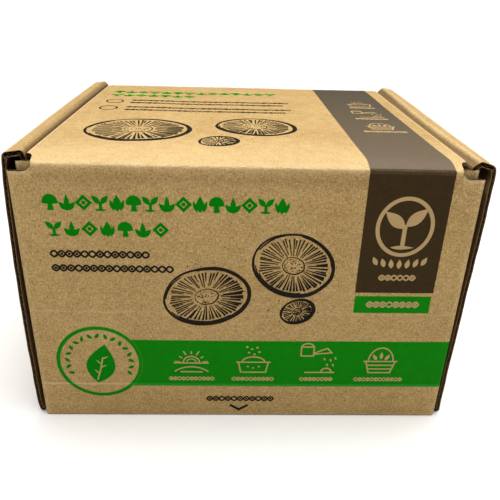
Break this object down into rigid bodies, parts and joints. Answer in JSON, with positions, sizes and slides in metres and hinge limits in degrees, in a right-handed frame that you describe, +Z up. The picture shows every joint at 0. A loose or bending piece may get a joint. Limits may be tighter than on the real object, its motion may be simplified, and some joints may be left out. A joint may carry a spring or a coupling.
{
  "type": "mushroom grow kit carton",
  "caption": "Closed corrugated carton of a mushroom grow kit, with a hinged lid, a full-height front flap with tuck-in ears and the growing block, liner and casing bag inside.",
  "frame": {"origin": "middle of the underside of the closed carton, on the surface it stands on", "axes": "+X to the right as seen from the front, -Y towards the front flap, +Z up"},
  "size_m": [0.289, 0.251, 0.19],
  "materials": {
    "plain_board": "matte",
    "printed_board": "matte",
    "compost": "matte",
    "liner_film": "satin",
    "casing_bag": "satin"
  },
  "bodies": {
    "tray": {"base_panel": "plain_board", "front_wall": "plain_board", "back_wall": "plain_board", "outer_side_wall_left": "plain_board", "outer_side_wall_right": "plain_board", "roll_over_strip_left": "plain_board", "roll_over_strip_right": "plain_board", "inner_side_wall_left": "plain_board", "inner_side_wall_right": "plain_board", "front_dust_flap_left": "plain_board", "front_dust_flap_right": "plain_board", "back_dust_flap_left": "plain_board", "back_dust_flap_right": "plain_board", "film_liner": "liner_film", "compost_block": "compost", "casing_bag": "casing_bag"},
    "lid": {"lid_panel": "printed_board"},
    "flap": {"front_flap": "printed_board", "flap_ear_left": "plain_board", "flap_ear_right": "plain_board"}
  },
  "joints": [
    {"name": "lid_hinge", "type": "hinge", "parent": "tray", "child": "lid", "pos_m": [0, 0.1255, 0.185], "axis": [-1, 0, 0], "range_deg": [0, 180]},
    {"name": "flap_hinge", "type": "hinge", "parent": "lid", "child": "flap", "pos_m": [0, -0.1255, 0.185], "axis": [-1, 0, 0], "range_deg": [0, 90]}
  ]
}
